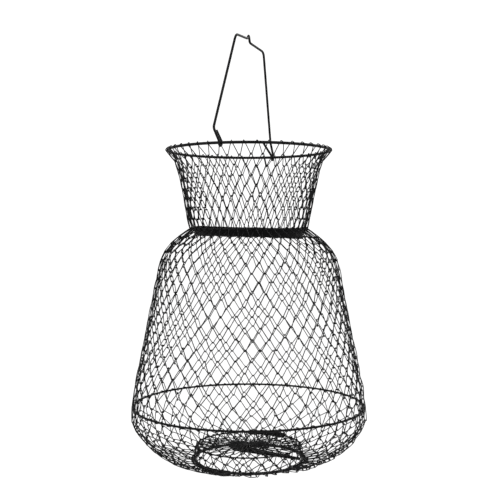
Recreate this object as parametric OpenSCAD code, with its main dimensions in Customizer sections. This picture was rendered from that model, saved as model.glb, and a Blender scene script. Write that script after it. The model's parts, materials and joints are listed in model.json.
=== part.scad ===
// Folding wire fish and crab basket: interlinked zigzag mesh rows on four hoops,
// a sprung lid in the neck, a drop door in the base and a bail handle.
// The origin is the top of the hanging eye in the bail, and +Z is up.

/* [Hoops] */
// Radius of the rim hoop
rim_r = 116.5; // [100:0.5:130]
// Radius of the neck hoop
neck_r = 83; // [78:1:90]
// Radius of the body hoop
body_r = 166; // [150:1:180]
// Radius of the base hoop
base_r = 82.5; // [76:0.5:90]
// Wire diameter of the rim hoop
rim_wire = 4; // [3:0.5:5]
// Wire diameter of the neck hoop
neck_wire = 2.5; // [2:0.5:3]
// Wire diameter of the body hoop
body_wire = 3; // [2:0.5:4]
// Wire diameter of the base hoop
base_wire = 3; // [2:0.5:4]

/* [Depths below the rim] */
// Depth of the neck hoop
neck_depth = 113; // [100:1:130]
// Depth of the body hoop
body_depth = 368; // [350:1:400]
// Depth of the base hoop
base_depth = 446; // [440:1:480]

/* [Mesh] */
// Rows of mesh in the collar, with the short one under the rim
collar_rows = 8; // [7:1:9]
// Rows of mesh in the body
body_rows = 19; // [16:1:22]
// Rows of mesh in the bottom bowl
bowl_rows = 9; // [7:1:10]
// Thickness of a row of mesh
mesh_t = 1; // [0.8:0.1:1.2]
// Clearance between two rows as they slide past each other
row_gap = 0.4; // [0.3:0.05:0.5]

/* [Handle] */
// Height of the hanging eye above the rim
hang_height = 165; // [150:1:180]
// Wire diameter of the bail
bail_wire = 3.5; // [3:0.5:4.5]
// Distance between the bail's top corners
bail_top_w = 124; // [100:1:130]

/* [Lid and door] */
// Radius of the lid hoop
lid_r = 76.5; // [74:0.5:77]
// Distance of the lid's middle below the neck hoop
lid_drop = 9.5; // [5:0.5:11]
// Height of the lid's upturned edge
lid_edge_h = 11.5; // [8:0.5:12]
// Angle by which the lid hangs lower on its hinge side
lid_tilt = 1.8; // [0:0.2:4]
// Radius of the door hoop, which closes inside the base hoop
door_r = 78; // [76:0.5:78]
// Radius of the ring round the top of the door's dish
dish_r = 75; // [70:0.5:76]
// Height of the door's dish above the base hoop
door_rise = 20; // [16:1:22]
// Direction of the lid hinge
lid_angle = 20; // [0:1:359]
// Direction of the door hinge
door_angle = 255; // [240:1:270]
// Direction of the door catch
catch_angle = 9; // [0:1:20]

/* [Hidden] */
// stretches of the basket's side
collar_flare = 13;          // extra radius at the rim, dying away down the collar
flare_depth = 12;
collar_taper = 0.18;        // radius lost for each mm of depth
wall_taper = 0.204;         // radius gained for each mm of depth
shoulder_depth = 48;
shoulder_step = 34;
wall_top_r = neck_r + shoulder_step;
wall_turn = 29;             // depth over which the wall steepens above the body hoop
turn_taper = 0.11;
bulge = 2.5;                // how far the mesh stands out round the body hoop
bowl_power = 0.6;
neck_stand = 1;             // how far the collar's lower end stands out from the neck hoop
// room that the mesh leaves to each hoop
rim_room = 6.8;
short_row = 6.2;            // height of the collar's first row
hoop_room = 2.6;
base_room = 0.9;
// small wire pieces
loop_wire = 1.6;
loop_slack = 0.4;
spring_wire = 1.2;
spring_facets = 6;
coil_steps = 8;
coil_side = [0.02, 0.02, 1];   // no turn of a coil runs along this
mesh_disc_t = 1.2;
disc_gap = 0.2;
centre_r = 6;
centre_wire = 1.8;
lid_hinge_half = 12;
lid_edge_t = 1;
lid_edge_gap = 15;          // half the gap in the lid's edge, where the hinge loops pass
door_hinge_half = 25;
door_loop_slack = 0.6;
coil_pitch = 3;
door_coil_r = 3.4;          // loose round the base hoop, and set outwards to clear the door
door_coil_out = 1.1;
lid_coil_half = 9.5;
door_coil_half = 15.5;
dish_wire = 2;
skirt_room = 2;             // between the skirt's lower edge and the door hoop
splice_angle = 86;
splice_half = 22;
splice_wire = 1.8;
splice_slack = 1.5;
splice_reach = dish_wire / 2 + splice_slack + splice_wire + disc_gap;
strap_in = 24;              // how far the strap reaches past the door's middle
strap_in_h = 5.6;
strap_h = 8;
strap_tip_h = 3;
strap_t = 4;
strap_drop = 4;             // top of the strap's inner end below the dish
strap_tip_drop = 16.4;      // top of its tip below the dish
strap_room = 2.5;           // between its tip and the door hoop
catch_wire = 2.4;
catch_turns = 4;
catch_step = 2;             // degrees between turns
catch_wrap = 230;           // how far each turn goes round, open on the door's side

wire_colour = "#1b1b1c";
mesh_colour = "#2a2a2b";
spring_colour = "#3a3a3c";

neck_z = depth_z(neck_depth);
body_z = depth_z(body_depth);
base_z = depth_z(base_depth);
rim_z = depth_z(0);
lid_z = neck_z - lid_drop;
door_z = base_z + door_rise;
lid_hinge_sink = lid_r * sin(lid_tilt) * cos(lid_hinge_half);

function depth_z(d) = -hang_height - d;

// Radius of the basket's side at a depth below the rim
function collar_side(d) = neck_r + neck_stand + (neck_depth - d) * collar_taper
    + collar_flare * exp(-d / flare_depth);
function shoulder_cut(d) =
    d > neck_depth + shoulder_depth ? 0
    : (wall_top_r - neck_r) * pow(1 - (d - neck_depth) / shoulder_depth, 2);
turn_depth = body_depth - wall_turn;
function wall_side(d) = wall_top_r + (min(d, turn_depth) - neck_depth) * wall_taper
    + max(d - turn_depth, 0) * turn_taper - shoulder_cut(d);
function bowl_side(d) = base_r + (body_r + bulge - base_r)
    * pow(1 - pow((d - body_depth) / (base_depth - body_depth), 2), bowl_power);
function side_r(d) =
    d <= neck_depth ? collar_side(d) : d <= body_depth ? wall_side(d) : bowl_side(d);

// Depths that split one stretch of the side into rows of equal slant height
slices = 300;
function slice_depth(a, b, i) = a + (b - a) * i / slices;
function slice_len(a, b, i) =
    norm([slice_depth(a, b, i + 1) - slice_depth(a, b, i),
          side_r(slice_depth(a, b, i + 1)) - side_r(slice_depth(a, b, i))]);
function side_table(a, b) =
    [for (i = 0, s = 0; i <= slices; s = s + slice_len(a, b, i), i = i + 1)
        [s, slice_depth(a, b, i)]];
function levels(a, b, rows) =
    let (table = side_table(a, b), whole = table[slices][0])
    [for (k = [0:rows]) lookup(whole * k / rows, table)];

collar_levels = concat(
    [rim_room],
    levels(rim_room + short_row, neck_depth - hoop_room, collar_rows - 1)
);
body_levels = levels(neck_depth + hoop_room, body_depth - hoop_room, body_rows);
bowl_levels = levels(body_depth + hoop_room, base_depth - base_room, bowl_rows);

// A ring of round wire in the horizontal plane
module hoop(r, wire, z) {
    translate([0, 0, z])
        rotate_extrude($fn = 120)
            translate([r, 0])
                circle(d = wire, $fn = 24);
}

// One row of mesh: a thin closed band between two depths, drawn in at each end so that
// neighbouring rows slide past each other
module mesh_row(d_top, d_low) {
    r_top = side_r(d_top);
    r_low = side_r(d_low);
    slant = norm([r_low - r_top, d_low - d_top]);
    face_r = (d_low - d_top) / slant;
    draw_in = min(abs(r_low - r_top), mesh_t * face_r + row_gap) / 2 * sign(r_low - r_top);
    band(r_top + draw_in, depth_z(d_top) - row_gap / 2, r_low - draw_in, depth_z(d_low) + row_gap / 2,
        face_r, (r_low - r_top) / slant);
}

// A closed band between two rings; face_r and face_z are the direction that it faces
module band(r_top, z_top, r_low, z_low, face_r, face_z) {
    half_r = mesh_t / 2 * face_r;
    half_z = mesh_t / 2 * face_z;
    rotate_extrude($fn = 96)
        polygon([
            [r_top - half_r, z_top - half_z],
            [r_low - half_r, z_low - half_z],
            [r_low + half_r, z_low + half_z],
            [r_top + half_r, z_top + half_z]
        ]);
}

// A bent wire along a list of points; side is any direction that the wire never runs along
module bent_wire(path, d, side, facets) {
    last = len(path) - 1;
    points = [for (i = [0:last])
        let (
            t = path[min(i + 1, last)] - path[max(i - 1, 0)],
            u = cross(t, side),
            n = u / norm(u),
            v = cross(t, n),
            m = v / norm(v)
        )
        for (k = [0:facets - 1])
            path[i] + (n * cos(k * 360 / facets) + m * sin(k * 360 / facets)) * d / 2];
    skins = [for (i = [0:last - 1], k = [0:facets - 1])
        let (a = i * facets + k, b = i * facets + (k + 1) % facets)
        each [[a, b, b + facets], [a, b + facets, a + facets]]];
    caps = [
        [for (k = [facets - 1:-1:0]) k],
        [for (k = [0:facets - 1]) last * facets + k]
    ];
    polyhedron(points, concat(skins, caps), convexity = 10);
}

// Points of a coil wound round a hoop between two directions
function hoop_coil(r, z, coil_r, from, to) =
    let (turns = round((to - from) * PI / 180 * r / coil_pitch), steps = turns * coil_steps)
    [for (i = [0:steps])
        let (a = from + (to - from) * i / steps, w = i * 360 / coil_steps)
        [(r + coil_r * cos(w)) * cos(a), (r + coil_r * cos(w)) * sin(a), z + coil_r * sin(w)]];

// A loop of wire that turns on a hoop, at the direction a
module hoop_loop(r, hoop_wire, z, a, along, slack) {
    rotate([0, 0, a])
        translate([r, 0, z])
            rotate([0, 0, along - a])
                rotate([90, 0, 0])
                    rotate_extrude($fn = 32)
                        translate([(hoop_wire + loop_wire) / 2 + slack, 0])
                            circle(d = loop_wire, $fn = 16);
}

// A straight round bar between two points
module bar(a, b, d) {
    run = b - a;
    translate(a)
        rotate([0, acos(run.z / norm(run)), atan2(run.y, run.x)])
            cylinder(h = norm(run), d = d, $fn = 20);
}

// A disc of radial mesh inside a small hoop
module mesh_disc(r, z) {
    translate([0, 0, z - mesh_disc_t / 2])
        difference() {
            cylinder(h = mesh_disc_t, r = r, $fn = 96);
            translate([0, 0, -mesh_disc_t / 2])
                cylinder(h = 2 * mesh_disc_t, r = centre_r + centre_wire / 2 + disc_gap, $fn = 48);
        }
}

// ---- handle ----
eye_play = 1;               // between the rim and each leg of the hairpin that holds it
pivot_play = 0.3;           // between the rim and the hairpin's end
eye_half = (rim_wire + bail_wire) / 2 + eye_play;
pivot_drop = (rim_wire + bail_wire) / 2 + pivot_play;
leg_start = 2;              // height at which the hairpin's legs leave their bend
tail_in = 1.9;              // how far the bail's wire ends inside the rim's line
far_tail = [-15, 24];       // across the bail and above the rim: where each end of it stops
near_tail = [-6.4, 17];
far_kink_at = [-4, 24];     // and where each leg turns up from its hairpin
near_kink_at = [-8.8, 20];
kink_out = 2;
corner_x = 2.5;
corner_drop = 11;
eye_far_at = [5, -9];       // the bar's ends beside the eye: along it, and below the eye
eye_near_at = [-6, -5];
corner_bend = 8;
leg_bend = 4;
eye_bend = 3;
bend_steps = 8;

// A rounded corner at b between a and c
function bend(a, b, c, r) =
    let (p = b + (a - b) / norm(a - b) * r, q = b + (c - b) / norm(c - b) * r)
    [for (i = [0:bend_steps])
        let (t = i / bend_steps)
        p * pow(1 - t, 2) + b * 2 * t * (1 - t) + q * pow(t, 2)];

// The hairpin at one foot of the bail, from its tail round the rim to the leg; s is the side
function foot(s, tail) = concat(
    [[tail.x, s * (rim_r - tail_in), rim_z + tail.y]],
    [[0, s * (rim_r - eye_half), rim_z + leg_start]],
    [for (w = [180:22.5:360])
        [0, s * (rim_r + eye_half * cos(w)), rim_z + pivot_drop * sin(w)]],
    [[0, s * (rim_r + eye_half), rim_z + leg_start]]
);
far_corner = [corner_x, bail_top_w / 2, -corner_drop];
near_corner = [corner_x, -bail_top_w / 2, -corner_drop];
far_kink = [far_kink_at.x, rim_r + kink_out, rim_z + far_kink_at.y];
near_kink = [near_kink_at.x, -rim_r - kink_out, rim_z + near_kink_at.y];
eye_top = [0, 0, bail_wire / 2];
eye_far = [0, eye_far_at.x, eye_far_at.y];
eye_near = [0, eye_near_at.x, eye_near_at.y];
far_foot = foot(1, far_tail);
near_foot = foot(-1, near_tail);
foot_last = len(near_foot) - 1;
handle_path = concat(
    far_foot,
    bend(far_foot[foot_last], far_kink, far_corner, leg_bend),
    bend(far_kink, far_corner, eye_far, corner_bend),
    bend(far_corner, eye_far, eye_top, eye_bend),
    bend(eye_far, eye_top, eye_near, leg_bend),
    bend(eye_top, eye_near, near_corner, eye_bend),
    bend(eye_near, near_corner, near_kink, corner_bend),
    bend(near_corner, near_kink, near_foot[foot_last], leg_bend),
    [for (i = [foot_last:-1:0]) near_foot[i]]
);

module handle_wire() {
    color(wire_colour)
        bent_wire(handle_path, bail_wire, [1, 0, 0], 10);
}

// ---- hoops ----
module rim_hoop() {
    color(wire_colour)
        hoop(rim_r, rim_wire, rim_z);
}
module neck_hoop() {
    color(wire_colour)
        hoop(neck_r, neck_wire, neck_z);
}
module body_hoop() {
    color(wire_colour)
        hoop(body_r, body_wire, body_z);
}
module base_hoop() {
    color(wire_colour)
        hoop(base_r, base_wire, base_z);
}

// ---- mesh rows ----
module collar_row(k) {
    color(mesh_colour)
        mesh_row(collar_levels[k - 1], collar_levels[k]);
}
module body_row(k) {
    color(mesh_colour)
        mesh_row(body_levels[k - 1], body_levels[k]);
}
module bowl_row(k) {
    color(mesh_colour)
        mesh_row(bowl_levels[k - 1], bowl_levels[k]);
}

// ---- lid in the neck ----
module on_lid() {
    translate([0, 0, lid_z])
        rotate([0, 0, lid_angle])
            rotate([0, lid_tilt, 0])
                children();
}
module lid_hoop() {
    color(wire_colour)
        on_lid()
            hoop(lid_r, neck_wire, 0);
}
module lid_edge() {
    color(wire_colour)
        on_lid()
            rotate([0, 0, lid_edge_gap])
                rotate_extrude(angle = 360 - 2 * lid_edge_gap, $fn = 96)
                    translate([lid_r + neck_wire / 2 + disc_gap, 0])
                        square([lid_edge_t, lid_edge_h]);
}
module lid_mesh() {
    color(mesh_colour)
        on_lid()
            mesh_disc(lid_r - neck_wire / 2 - disc_gap, 0);
}
module lid_centre_ring() {
    color(wire_colour)
        on_lid()
            hoop(centre_r, centre_wire, 0);
}
module lid_hinge_loops() {
    color(wire_colour)
        for (s = [-1, 1]) {
            a = lid_angle + s * lid_hinge_half;
            on_neck = neck_r * [cos(a), sin(a)];
            on_hoop = lid_r * [cos(a), sin(a)];
            // the arm starts on the loop's own ring, on the line down to the lid hoop
            gap = [on_hoop.x - on_neck.x, on_hoop.y - on_neck.y, -lid_drop - lid_hinge_sink];
            ring_r = (neck_wire + loop_wire) / 2 + loop_slack;
            hoop_loop(neck_r, neck_wire, neck_z, a, lid_angle, loop_slack);
            bar(
                [on_neck.x, on_neck.y, neck_z] + gap / norm(gap) * ring_r,
                [on_hoop.x, on_hoop.y, lid_z - lid_hinge_sink],
                loop_wire
            );
        }
}
module lid_spring() {
    color(spring_colour)
        bent_wire(
            hoop_coil(neck_r, neck_z, neck_wire / 2 + spring_wire / 2 + loop_slack,
                lid_angle - lid_coil_half, lid_angle + lid_coil_half),
            spring_wire, coil_side, spring_facets
        );
}

// ---- door in the base: a hoop, and a mesh dish that stands up inside the basket ----
module door_hoop() {
    color(wire_colour)
        hoop(door_r, neck_wire, base_z);
}
module door_dish_ring() {
    color(wire_colour)
        hoop(dish_r, dish_wire, door_z);
}
module door_skirt() {
    slant = norm([door_r - dish_r, door_rise]);
    color(mesh_colour)
        band(dish_r, door_z - splice_reach, door_r, base_z + skirt_room,
            door_rise / slant, (door_r - dish_r) / slant);
}
module door_mesh() {
    color(mesh_colour)
        mesh_disc(dish_r - splice_reach, door_z);
}
module door_centre_ring() {
    color(wire_colour)
        hoop(centre_r, centre_wire, door_z);
}
module door_hinge_loops() {
    color(wire_colour)
        for (s = [-1, 1])
            hoop_loop(base_r, base_wire, base_z, door_angle + s * door_hinge_half, door_angle,
                door_loop_slack);
}
module door_spring() {
    color(spring_colour)
        bent_wire(
            hoop_coil(base_r + door_coil_out, base_z, door_coil_r,
                door_angle - door_coil_half, door_angle + door_coil_half),
            spring_wire, coil_side, spring_facets
        );
}
module door_splice() {
    color(spring_colour)
        bent_wire(
            hoop_coil(dish_r, door_z, (dish_wire + splice_wire) / 2 + splice_slack,
                splice_angle - splice_half, splice_angle + splice_half),
            splice_wire, coil_side, spring_facets
        );
}

// The tapered strap that runs on edge from under the dish's middle out to the catch
strap_out = door_r - neck_wire / 2 - strap_room;
module door_latch() {
    color(wire_colour)
        rotate([0, 0, catch_angle])
            translate([0, 0, door_z])
                rotate([90, 0, 0])
                    linear_extrude(height = strap_t, center = true)
                        polygon([
                            [-strap_in, -strap_drop],
                            [0, -strap_drop],
                            [strap_out, -strap_tip_drop],
                            [strap_out, -strap_tip_drop - strap_tip_h],
                            [0, -strap_drop - strap_h],
                            [-strap_in, -strap_drop - strap_in_h]
                        ]);
}
module door_catch() {
    color(wire_colour)
        for (k = [0:catch_turns - 1])
            rotate([0, 0, catch_angle + (k - (catch_turns - 1) / 2) * catch_step])
                translate([base_r, 0, base_z])
                    rotate([90, 0, 0])
                        rotate([0, 0, -catch_wrap / 2])
                            rotate_extrude(angle = catch_wrap, $fn = 32)
                                translate([(base_wire + catch_wire) / 2 + disc_gap, 0])
                                    circle(d = catch_wire, $fn = 16);
}

handle_wire();
rim_hoop();
neck_hoop();
body_hoop();
base_hoop();
for (k = [1:collar_rows])
    collar_row(k);
for (k = [1:body_rows])
    body_row(k);
for (k = [1:bowl_rows])
    bowl_row(k);
lid_hoop();
lid_edge();
lid_mesh();
lid_centre_ring();
lid_hinge_loops();
lid_spring();
door_hoop();
door_dish_ring();
door_skirt();
door_mesh();
door_centre_ring();
door_hinge_loops();
door_spring();
door_splice();
door_latch();
door_catch();
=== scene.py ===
import json
import math
import random

import bpy
import numpy as np
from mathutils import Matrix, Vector


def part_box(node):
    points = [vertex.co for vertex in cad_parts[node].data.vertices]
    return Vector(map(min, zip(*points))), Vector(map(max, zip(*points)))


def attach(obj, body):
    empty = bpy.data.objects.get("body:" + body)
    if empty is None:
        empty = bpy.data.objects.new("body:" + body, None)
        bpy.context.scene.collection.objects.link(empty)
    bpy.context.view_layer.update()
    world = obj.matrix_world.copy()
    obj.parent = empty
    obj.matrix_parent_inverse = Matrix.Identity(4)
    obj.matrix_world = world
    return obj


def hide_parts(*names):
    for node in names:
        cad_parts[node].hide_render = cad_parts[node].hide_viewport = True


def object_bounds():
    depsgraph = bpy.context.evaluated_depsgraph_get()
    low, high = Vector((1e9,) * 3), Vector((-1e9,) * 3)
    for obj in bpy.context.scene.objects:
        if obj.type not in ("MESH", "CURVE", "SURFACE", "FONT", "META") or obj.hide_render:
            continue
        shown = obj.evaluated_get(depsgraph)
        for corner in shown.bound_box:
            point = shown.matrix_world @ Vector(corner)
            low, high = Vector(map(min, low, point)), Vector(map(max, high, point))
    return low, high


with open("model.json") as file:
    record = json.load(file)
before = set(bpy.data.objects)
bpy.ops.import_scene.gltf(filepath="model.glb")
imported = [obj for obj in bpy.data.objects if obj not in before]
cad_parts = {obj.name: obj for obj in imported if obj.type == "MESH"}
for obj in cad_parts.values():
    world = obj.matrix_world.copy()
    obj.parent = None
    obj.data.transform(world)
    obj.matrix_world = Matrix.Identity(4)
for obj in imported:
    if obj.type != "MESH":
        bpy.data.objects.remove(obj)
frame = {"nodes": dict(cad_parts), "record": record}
cad_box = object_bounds()

MM = 0.001
BODY_OF = {
    node: body
    for body, nodes in frame["record"]["behaviour"]["bodies"].items()
    for node in nodes
}

# ---- sizes, in metres ----
MESH_R = 0.63 * MM          # radius of the mesh wire
CELLS = 44                  # bends round one row
WEB_CELLS = 28              # bends round the dish, whose web is more open
HALF_DEPTH = 1.50 * MM      # how far a leg stands off its surface, inside or out
BEND_R = 0.95 * MM          # radius of a bend, seen square on
OVERLAP = 0.80 * MM         # how far a bend reaches past the level it shares
LEG_STEPS = 5
BEND_STEPS = 7
WIRE_SIDES = 6
TAU = 2 * math.pi

# ---- coating, matched by mean grey to the photo ----
SPECULAR_LEVEL = 0.07       # well below a real dipped coating
BARE_STEEL = (0.09, 0.088, 0.085, 1)


# ---- measures taken from the CAD frame ----
def verts_of(node):
    return np.array([v.co for v in frame["nodes"][node].data.vertices], float)


def ring_of(node):
    """(radius of the ring's centre line, its height, its wire's radius)."""
    low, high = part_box(node)
    wire = (high.z - low.z) / 2
    return (high.x - low.x) / 2 - wire, (high.z + low.z) / 2, wire


def ends_of(node):
    """(radius, height) of the middle of a band's top edge and of its bottom edge."""
    v = verts_of(node)
    r = np.hypot(v[:, 0], v[:, 1])
    rz = np.unique(np.round(np.stack([r, v[:, 2]], 1), 5), axis=0)
    rz = rz[np.argsort(rz[:, 1])]
    split = int(np.argmax(np.diff(rz[:, 1]))) + 1
    return rz[split:].mean(0), rz[:split].mean(0)


def plane_of(node):
    """(centre, 3x3 turn, radius, wire radius) of a ring that may lie tilted."""
    v = verts_of(node)
    centre = (v.max(0) + v.min(0)) / 2
    _, _, axes = np.linalg.svd(v - centre, full_matrices=False)
    up = axes[2] * math.copysign(1, axes[2][2])
    across = np.cross([0.0, 1.0, 0.0], up)
    across /= np.linalg.norm(across)
    turn = np.stack([across, np.cross(up, across), up], axis=1)
    local = (v - centre) @ turn
    wire = (local[:, 2].max() - local[:, 2].min()) / 2
    return centre, turn, np.hypot(local[:, 0], local[:, 1]).max() - wire, wire


def arc_of(node):
    """(first angle, last angle) that a coiled node takes up round the basket's axis."""
    v = verts_of(node)
    mid = math.atan2(v[:, 1].mean(), v[:, 0].mean())
    off = (np.arctan2(v[:, 1], v[:, 0]) - mid + math.pi) % TAU - math.pi
    return mid + off.min(), mid + off.max()


# ---- wire shapes ----
def swept(points, radii, closed, sides=WIRE_SIDES):
    """Vertices and faces of a round wire along points, without twist along the way."""
    p = np.asarray(points, float)
    n = len(p)
    if closed:
        t = np.roll(p, -1, 0) - np.roll(p, 1, 0)
    else:
        t = np.gradient(p, axis=0)
    t /= np.linalg.norm(t, axis=1)[:, None]
    side = np.cross(t[0], [0.3, 0.2, 1.0])
    u = np.empty_like(p)
    for i in range(n):
        side = side - t[i] * np.dot(side, t[i])
        side /= np.linalg.norm(side)
        u[i] = side
    v = np.cross(t, u)
    a = np.arange(sides) * TAU / sides
    r = np.broadcast_to(np.asarray(radii, float), (n,))[:, None, None]
    ring = u[:, None] * np.cos(a)[None, :, None] + v[:, None] * np.sin(a)[None, :, None]
    verts = (p[:, None] + ring * r).reshape(-1, 3)
    # a closed wire comes back turned by some angle, so the last ring joins at the nearest side
    shift = 0
    if closed:
        back = u[-1] - t[0] * np.dot(u[-1], t[0])
        turn = math.atan2(np.dot(back, v[0]), np.dot(back, u[0]))
        shift = int(round(turn / (TAU / sides))) % sides
    faces = []
    for i in range(n if closed else n - 1):
        j = (i + 1) % n
        s = shift if closed and j == 0 else 0
        for k in range(sides):
            m = (k + 1) % sides
            faces.append((
                i * sides + k, i * sides + m,
                j * sides + (m + s) % sides, j * sides + (k + s) % sides,
            ))
    if not closed:
        faces.append(tuple(range(sides - 1, -1, -1)))
        faces.append(tuple((n - 1) * sides + k for k in range(sides)))
    return verts, faces


def piece(name, parts, material, slot, body, *nodes):
    """One object from several (vertices, faces), riding a body and standing for CAD nodes."""
    verts, faces, base = [], [], 0
    for v, f in parts:
        verts.append(v)
        faces += [tuple(i + base for i in face) for face in f]
        base += len(v)
    mesh = bpy.data.meshes.new(name)
    mesh.from_pydata(np.vstack(verts).tolist(), [], faces)
    mesh.polygons.foreach_set("use_smooth", [True] * len(mesh.polygons))
    mesh.update()
    mesh.materials.append(material)
    obj = bpy.data.objects.new(name, mesh)
    bpy.context.scene.collection.objects.link(obj)
    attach(obj, body)
    if nodes:
        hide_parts(*nodes)
    return obj


# ---- materials ----
def coated(name, colour, rough, grain, worn=0.0):
    """Black dipped coating on wire: uneven gloss, fine bumps and rubbed high places."""
    mat = bpy.data.materials.new(name)
    mat.use_nodes = True
    tree = mat.node_tree
    new, link = tree.nodes.new, tree.links.new
    shader = tree.nodes["Principled BSDF"]
    shader.inputs["IOR"].default_value = 1.5
    shader.inputs["Specular IOR Level"].default_value = SPECULAR_LEVEL
    place = new("ShaderNodeTexCoord")
    tone = new("ShaderNodeTexNoise")
    tone.inputs["Scale"].default_value = 90
    tone.inputs["Detail"].default_value = 5
    ramp = new("ShaderNodeValToRGB")
    dark = [c * 0.6 for c in colour]
    light = [c * 1.5 + 0.001 for c in colour]
    ramp.color_ramp.elements[0].position = 0.3
    ramp.color_ramp.elements[1].position = 0.75
    ramp.color_ramp.elements[0].color = (*dark, 1)
    ramp.color_ramp.elements[1].color = (*light, 1)
    link(place.outputs["Object"], tone.inputs["Vector"])
    link(tone.outputs["Fac"], ramp.inputs["Fac"])
    rub = new("ShaderNodeTexNoise")
    rub.inputs["Scale"].default_value = 260
    rub.inputs["Detail"].default_value = 3
    edge = new("ShaderNodeMapRange")
    edge.inputs["From Min"].default_value = 0.62
    edge.inputs["From Max"].default_value = 0.80
    edge.inputs["To Max"].default_value = worn
    bare = new("ShaderNodeMixRGB")
    bare.inputs["Color2"].default_value = BARE_STEEL
    link(place.outputs["Object"], rub.inputs["Vector"])
    link(rub.outputs["Fac"], edge.inputs["Value"])
    link(edge.outputs["Result"], bare.inputs["Fac"])
    link(ramp.outputs["Color"], bare.inputs["Color1"])
    link(bare.outputs["Color"], shader.inputs["Base Color"])
    gloss = new("ShaderNodeMapRange")
    gloss.inputs["To Min"].default_value = rough - 0.14
    gloss.inputs["To Max"].default_value = rough + 0.16
    link(tone.outputs["Fac"], gloss.inputs["Value"])
    link(gloss.outputs["Result"], shader.inputs["Roughness"])
    pits = new("ShaderNodeTexNoise")
    pits.inputs["Scale"].default_value = grain
    pits.inputs["Detail"].default_value = 4
    bump = new("ShaderNodeBump")
    bump.inputs["Strength"].default_value = 0.35
    bump.inputs["Distance"].default_value = 0.0003
    link(place.outputs["Object"], pits.inputs["Vector"])
    link(pits.outputs["Fac"], bump.inputs["Height"])
    link(bump.outputs["Normal"], shader.inputs["Normal"])
    return mat


MESH_MAT = coated("mesh_wire_black", (0.0035, 0.0035, 0.0038), 0.56, 900)
WIRE_MAT = coated("hoop_wire_black", (0.0025, 0.0025, 0.0028), 0.50, 600, worn=0.12)
SPRING_MAT = coated("spring_wire_black", (0.004, 0.004, 0.0044), 0.48, 800, worn=0.25)
STRAP_MAT = coated("strap_black", (0.0018, 0.0018, 0.002), 0.62, 500, worn=0.08)

# ---- the mesh ----
chance = random.Random(4671)


def shared_level(cells, loose):
    """Small shifts of one level's links, round the hoop, along the side and off the surface."""
    return [tuple(chance.gauss(0, loose * s) for s in (0.9, 0.6, 0.5)) for _ in range(cells)]


def still_level(cells, loose=0.35 * MM):
    """A level whose links sit on a hoop, and so only shift round it."""
    return [(chance.gauss(0, loose), 0.0, 0.0) for _ in range(cells)]


def gather(level, k, middle, width, pull):
    """Draws one level's links together round the direction middle."""
    for i, (du, dw, dn) in enumerate(level):
        turn = TAU * (i - (k // 2) + k / 2) / len(level)
        off = (turn - middle + math.pi) % TAU - math.pi
        level[i] = (du - pull * (off / width) * math.exp(0.5 - (off / width) ** 2 / 2), dw, dn)


# where links are bunched: direction, half width, level, and how far they are drawn together
BUNCHES = {
    "bowl_row_": (
        (math.radians(235), 0.16, 5, 6 * MM), (math.radians(341), 0.16, 5, 6 * MM),
        (math.radians(255), 0.20, 8, 4 * MM), (math.radians(9), 0.20, 8, 4 * MM),
    ),
    "body_row_": ((math.radians(24), 0.18, 2, 5 * MM), (math.radians(205), 0.14, 1, 3 * MM)),
    "collar_row_": ((math.radians(24), 0.16, 1, 4 * MM), (math.radians(196), 0.16, 1, 4 * MM)),
}


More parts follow.
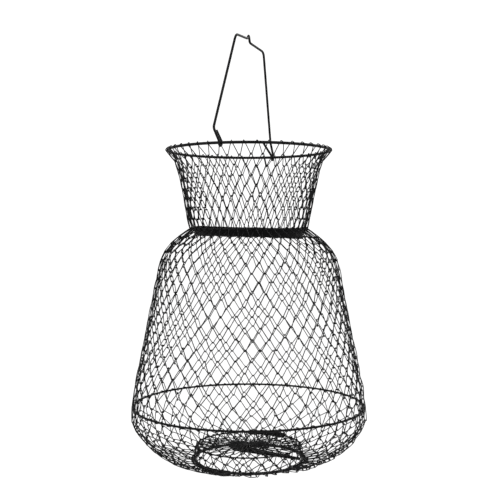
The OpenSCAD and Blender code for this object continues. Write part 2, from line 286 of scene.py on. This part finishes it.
def zigzag(top, low, cells, phase, at_top, at_low, wrap_top=None, wrap_low=None,
           shy=0.0, wire=MESH_R):
    """One closed zigzag ring of wire between two (radius, height) levels.

    Each bend is a round arc in the surface. The legs that run down to the right lie outside
    it and the others inside, so a bend crosses the surface and links with the next row's.
    wrap_top and wrap_low are the wire radius of a hoop that the bends go round; shy moves
    those bends sideways along the hoop.
    """
    top, low = np.asarray(top, float), np.asarray(low, float)
    run = low - top
    height = np.linalg.norm(run)
    down = run / height
    out = np.array([-down[1], down[0]])
    half = math.pi * (top[0] + low[0]) / 2 / cells

    def shape(level, wrap):
        """(bend radius, reach past the level, stand-off) of one level's bends."""
        rho = min(BEND_R, 0.42 * math.pi * max(level[0], 1 * MM) / cells)
        if wrap is None:
            return rho, OVERLAP * rho / BEND_R, min(HALF_DEPTH, 1.6 * rho)
        return rho, wrap + wire, wrap + wire

    (rho_t, over_t, deep_t), (rho_l, over_l, deep_l) = shape(top, wrap_top), shape(low, wrap_low)
    fall = height + over_t + over_l - rho_t - rho_l
    span = math.hypot(half, fall)
    steep = math.atan2(half, fall) - math.asin(min(0.9, (rho_t + rho_l) / span))
    sweep = math.pi / 2 - steep
    points = []

    def put(angle, w, n):
        place = top + down * w + out * n
        points.append((place[0] * math.cos(angle), place[0] * math.sin(angle), place[1]))

    def node(i, lower):
        level = at_low if lower else at_top
        turn = TAU * (i + (0.5 if lower else 0.0) + phase / 2) / cells
        k = (i + (phase + (1 if lower else 0)) // 2) % cells
        du, dw, dn = level[k]
        wrap = wrap_low if lower else wrap_top
        if wrap is not None:
            du = du + (shy if lower else -shy)
        wide = max((low if lower else top)[0], 2 * MM)
        return turn + du / wide, dw, dn, wide

    def bend(place, lower):
        """The arc's points as (angle, w, n), in the order the wire runs."""
        turn, dw, dn, wide = place
        rho, over, deep = (rho_l, over_l, deep_l) if lower else (rho_t, over_t, deep_t)
        sign = 1 if lower else -1
        middle = (height if lower else 0.0) + sign * (over - rho) + dw
        arc = []
        for i in range(BEND_STEPS):
            t = 2 * i / (BEND_STEPS - 1) - 1
            psi = sweep * t
            arc.append((
                turn + rho * math.sin(psi) / wide,
                middle + sign * rho * math.cos(psi),
                dn - sign * deep * math.sin(math.pi / 2 * t),
            ))
        return arc

    def leg(a, b, outside):
        for i in range(1, LEG_STEPS):
            t = i / LEG_STEPS
            belly = 0.2 * MM * math.sin(math.pi * t) * (1 if outside else -1)
            put(a[0] + (b[0] - a[0]) * t, a[1] + (b[1] - a[1]) * t,
                a[2] + (b[2] - a[2]) * t + belly)

    tops = [bend(node(i, False), False) for i in range(cells)]
    lows = [bend(node(i, True), True) for i in range(cells)]
    for i in range(cells):
        for point in tops[i]:
            put(*point)
        leg(tops[i][-1], lows[i][0], True)
        for point in lows[i]:
            put(*point)
        onward = tops[(i + 1) % cells][0]
        if i == cells - 1:
            onward = (onward[0] + TAU, *onward[1:])
        leg(lows[i][-1], onward, False)
    return swept(points, wire, True)


def mesh_side():
    """Every row of the collar, the body and the bowl, hooked to one another and the hoops."""
    rim, neck, body, base = (ring_of(n) for n in ("rim_hoop", "neck_hoop", "body_hoop", "base_hoop"))
    stretches = [
        ("collar_row_", rim, neck, 0.75 * MM),
        ("body_row_", neck, body, 0.95 * MM),
        ("bowl_row_", body, base, 2.3 * MM),
    ]
    for stem, upper, lower, loose in stretches:
        count = sum(1 for n in frame["nodes"] if n.startswith(stem))
        ends = [ends_of(f"{stem}{k}") for k in range(1, count + 1)]
        levels = [np.array(upper[:2])]
        levels += [(ends[k][1] + ends[k + 1][0]) / 2 for k in range(count - 1)]
        levels.append(np.array(lower[:2]))
        shifts = [still_level(CELLS)]
        shifts += [shared_level(CELLS, loose) for _ in range(count - 1)]
        shifts.append(still_level(CELLS))
        for middle, width, at, pull in BUNCHES.get(stem, ()):
            for k in range(1, count):
                gather(shifts[k], k, middle, width, pull * math.exp(-((k - at) / 1.2) ** 2))
        for k in range(count):
            name = f"{stem}{k + 1}"
            part = zigzag(
                levels[k], levels[k + 1], CELLS, k,
                shifts[k], shifts[k + 1],
                upper[2] if k == 0 else None,
                lower[2] if k == count - 1 else None,
                shy=0.9 * MM,
            )
            piece(name + "_wire", [part], MESH_MAT, "mesh_wire", BODY_OF[name], name)


def placed(part, centre, turn):
    verts, faces = part
    return verts @ turn.T + centre, faces


def mesh_disc(hoop, ring, node, rows, sag, cells):
    """The radial mesh of the lid or the dish: zigzag rings gathered in to the centre ring."""
    centre, turn, hoop_r, hoop_wire = plane_of(hoop)
    _, _, ring_r, ring_wire = plane_of(ring)
    levels = []
    for k in range(rows + 1):
        t = k / rows
        levels.append((hoop_r + (ring_r - hoop_r) * t, sag * math.sin(math.pi * t)))
    shifts = [still_level(cells)]
    shifts += [shared_level(cells, 0.9 * MM * (1 - k / rows) ** 1.5) for k in range(1, rows)]
    shifts.append(still_level(cells, 0.05 * MM))
    parts = [
        placed(zigzag(
            levels[k], levels[k + 1], cells, k, shifts[k], shifts[k + 1],
            hoop_wire if k == 0 else None, ring_wire if k == rows - 1 else None,
            shy=0.5 * MM if k == 0 else 0.0,
        ), centre, turn)
        for k in range(rows)
    ]
    piece(node + "_wire", parts, MESH_MAT, "mesh_wire", BODY_OF[node], node)


def mesh_skirt():
    """The short side of the dish, two rows between its top ring and the door hoop."""
    top_r, top_z, top_wire = ring_of("door_dish_ring")
    low_r, low_z, low_wire = ring_of("door_hoop")
    mid = ((top_r + low_r) / 2 + 0.6 * MM, (top_z + low_z) / 2)
    shift = [still_level(WEB_CELLS), shared_level(WEB_CELLS, 0.8 * MM), still_level(WEB_CELLS)]
    parts = [
        zigzag((top_r, top_z), mid, WEB_CELLS, 0, shift[0], shift[1], top_wire, None, 0.6 * MM),
        zigzag(mid, (low_r, low_z), WEB_CELLS, 1, shift[1], shift[2], None, low_wire, 0.6 * MM),
    ]
    piece("door_skirt_wire", parts, MESH_MAT, "mesh_wire", BODY_OF["door_skirt"], "door_skirt")


# ---- hoops ----
def welded_hoop(node, weld_at, wobble=0.25 * MM):
    """A hoop of round wire with a butt weld, and the slight waviness of bent wire."""
    centre, turn, radius, wire = plane_of(node)
    steps = 240
    points, radii = [], []
    for i in range(steps):
        a = TAU * i / steps
        off = (a - weld_at + math.pi) % TAU - math.pi
        bead = math.exp(-(off * radius / (1.6 * wire)) ** 2)
        r = radius + wobble * math.sin(3 * a + weld_at) * 0.5
        rise = wobble * math.sin(2 * a + 2.1 * weld_at)
        points.append((r * math.cos(a), r * math.sin(a), rise * 0.5))
        radii.append(wire * (1 + 0.16 * bead))
    part = placed(swept(points, radii, True, 14), centre, turn)
    piece(node + "_wire", [part], WIRE_MAT, "coated_wire", BODY_OF[node], node)


def lid_edge():
    """The lid's upturned edge: a thin strip with a rolled lip and slightly uneven height."""
    centre, turn, _, _ = plane_of("lid_hoop")
    local = (verts_of("lid_edge") - centre) @ turn
    r = np.hypot(local[:, 0], local[:, 1])
    inner, outer = r.min(), r.max()
    low, high = local[:, 2].min(), local[:, 2].max()
    angles = np.arctan2(local[:, 1], local[:, 0]) % TAU
    order = np.sort(angles)
    gaps = np.diff(np.append(order, order[0] + TAU))
    k = int(np.argmax(gaps))
    start, sweep = order[k] + gaps[k], TAU - gaps[k]
    lip = (outer - inner) * 0.75
    profile = [(inner, low), (outer, low)]
    profile += [(outer + lip * math.sin(t) * 0.5, high - lip * (1 + math.cos(t)) / 2)
                for t in np.linspace(0.4, math.pi, 6)[::-1]]
    profile += [(inner, high)]
    verts, faces, steps, m = [], [], 150, len(profile)
    for i in range(steps + 1):
        a = start + sweep * i / steps
        wave = 0.25 * MM * math.sin(5 * a) + 0.15 * MM * math.sin(11 * a + 1)
        for pr, pz in profile:
            verts.append(((pr + wave * 0.4) * math.cos(a), (pr + wave * 0.4) * math.sin(a),
                          pz + wave * (pz - low) / (high - low)))
    for i in range(steps):
        for j in range(m):
            n = (j + 1) % m
            faces.append((i * m + j, (i + 1) * m + j, (i + 1) * m + n, i * m + n))
    faces.append(tuple(range(m)))
    faces.append(tuple(steps * m + j for j in range(m - 1, -1, -1)))
    part = placed((np.array(verts), faces), centre, turn)
    piece("lid_edge_strip", [part], STRAP_MAT, "strap_steel", BODY_OF["lid_edge"], "lid_edge")


def wound(radius, z, coil_r, start, end, pitch, wire, uneven=0.0, sides=8):
    """A coil wound round a hoop between two angles, with each turn a little off the last."""
    turns = abs(end - start) * radius / pitch
    steps = int(turns * 14)
    slack = [chance.gauss(0, uneven) for _ in range(int(turns) + 3)]
    points = []
    for i in range(steps + 1):
        w = TAU * turns * i / steps
        k, t = divmod(w / TAU, 1)
        off = slack[int(k)] + (slack[int(k) + 1] - slack[int(k)]) * t
        a = start + (end - start) * i / steps
        c = coil_r + off
        points.append((
            (radius + c * math.cos(w)) * math.cos(a),
            (radius + c * math.cos(w)) * math.sin(a),
            z + c * math.sin(w),
        ))
    return swept(points, wire, False, sides)


mesh_side()
mesh_disc("lid_hoop", "lid_centre_ring", "lid_mesh", 7, 0.8 * MM, CELLS)
mesh_disc("door_dish_ring", "door_centre_ring", "door_mesh", 3, -0.8 * MM, WEB_CELLS)
mesh_skirt()
for node, weld_at in (
    ("rim_hoop", 2.2), ("neck_hoop", 3.9), ("body_hoop", 0.8), ("base_hoop", 5.2),
    ("lid_hoop", 2.9), ("door_hoop", 4.9), ("door_dish_ring", 0.9),
):
    welded_hoop(node, weld_at)


def springs():
    """The lid's and the door's coils, and the splice wound on the dish ring."""
    for node, pitch, wire, uneven in (
        ("lid_spring", 2.0 * MM, 0.65 * MM, 0.05 * MM),
        ("door_spring", 1.8 * MM, 0.80 * MM, 0.12 * MM),
        ("door_splice", 1.9 * MM, 0.90 * MM, 0.45 * MM),
    ):
        low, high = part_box(node)
        start, end = arc_of(node)
        v = verts_of(node)
        r = np.hypot(v[:, 0], v[:, 1])
        coil_r = (high.z - low.z) / 2 - wire
        part = wound((r.max() + r.min()) / 2, (low.z + high.z) / 2, coil_r, start, end,
                     pitch, wire, uneven)
        piece(node + "_wire", [part], SPRING_MAT, "spring_steel", BODY_OF[node], node)


springs()
lid_edge()

CARRIED = {
    "handle_wire": WIRE_MAT, "lid_centre_ring": WIRE_MAT, "door_centre_ring": WIRE_MAT,
    "lid_hinge_loops": WIRE_MAT, "door_hinge_loops": WIRE_MAT, "door_latch": STRAP_MAT,
    "door_catch": WIRE_MAT,
}
for node, mat in CARRIED.items():
    obj = frame["nodes"][node]
    obj.data.materials.clear()
    obj.data.materials.append(mat)


# ---- floor, light and camera ----
def floor_and_light():
    _, rim_z, _ = ring_of("rim_hoop")
    base = cad_box[0].z
    mesh = bpy.data.meshes.new("floor")
    wide, drop = 60.0, 1.6
    mesh.from_pydata(
        [(-wide, -wide, base - drop), (wide, -wide, base - drop),
         (wide, wide, base - drop), (-wide, wide, base - drop)],
        [], [(0, 1, 2, 3)],
    )
    floor = bpy.data.objects.new("floor", mesh)
    bpy.context.scene.collection.objects.link(floor)
    mat = bpy.data.materials.new("floor_pale")
    mat.use_nodes = True
    mat.node_tree.nodes["Principled BSDF"].inputs["Base Color"].default_value = (0.96, 0.96, 0.96, 1)
    mat.node_tree.nodes["Principled BSDF"].inputs["Roughness"].default_value = 0.9
    mesh.materials.append(mat)
    world = bpy.data.worlds.new("studio")
    bpy.context.scene.world = world
    world.use_nodes = True
    world.node_tree.nodes["Background"].inputs["Color"].default_value = (1, 1, 1, 1)
    world.node_tree.nodes["Background"].inputs["Strength"].default_value = 1.1
    bpy.context.scene.view_settings.view_transform = "Standard"
    for name, where, size, power in (
        ("key", (-1.3, -1.8, 1.5), 1.6, 45),
        ("fill", (1.9, -1.1, 0.6), 1.6, 18),
        ("back", (0.4, 2.0, 1.2), 1.6, 30),
    ):
        light = bpy.data.lights.new(name, "AREA")
        light.size, light.energy = size, power
        obj = bpy.data.objects.new(name, light)
        obj.location = where
        aim = Vector((0, 0, (rim_z + base) / 2)) - obj.location
        obj.rotation_euler = aim.to_track_quat("-Z", "Y").to_euler()
        bpy.context.scene.collection.objects.link(obj)


def camera():
    """The camera stands 1.22 m off, 5 mm below the neck, to the right of the bail's plane."""
    _, neck_z, _ = ring_of("neck_hoop")
    away, side = 1.22, math.radians(18.7)
    below_neck, aim_below_neck, aim_right = 0.005, 0.0303, 0.0018
    data = bpy.data.cameras.new("camera")
    data.lens, data.sensor_width = 60.7, 36
    data.clip_end = 120
    cam = bpy.data.objects.new("camera", data)
    cam.location = (math.sin(side) * away, -math.cos(side) * away, neck_z - below_neck)
    right = Vector((math.cos(side), math.sin(side), 0))
    target = Vector((0, 0, neck_z - aim_below_neck)) + right * aim_right
    cam.rotation_euler = (target - cam.location).to_track_quat("-Z", "Y").to_euler()
    bpy.context.scene.collection.objects.link(cam)
    bpy.context.scene.camera = cam


floor_and_light()
camera()
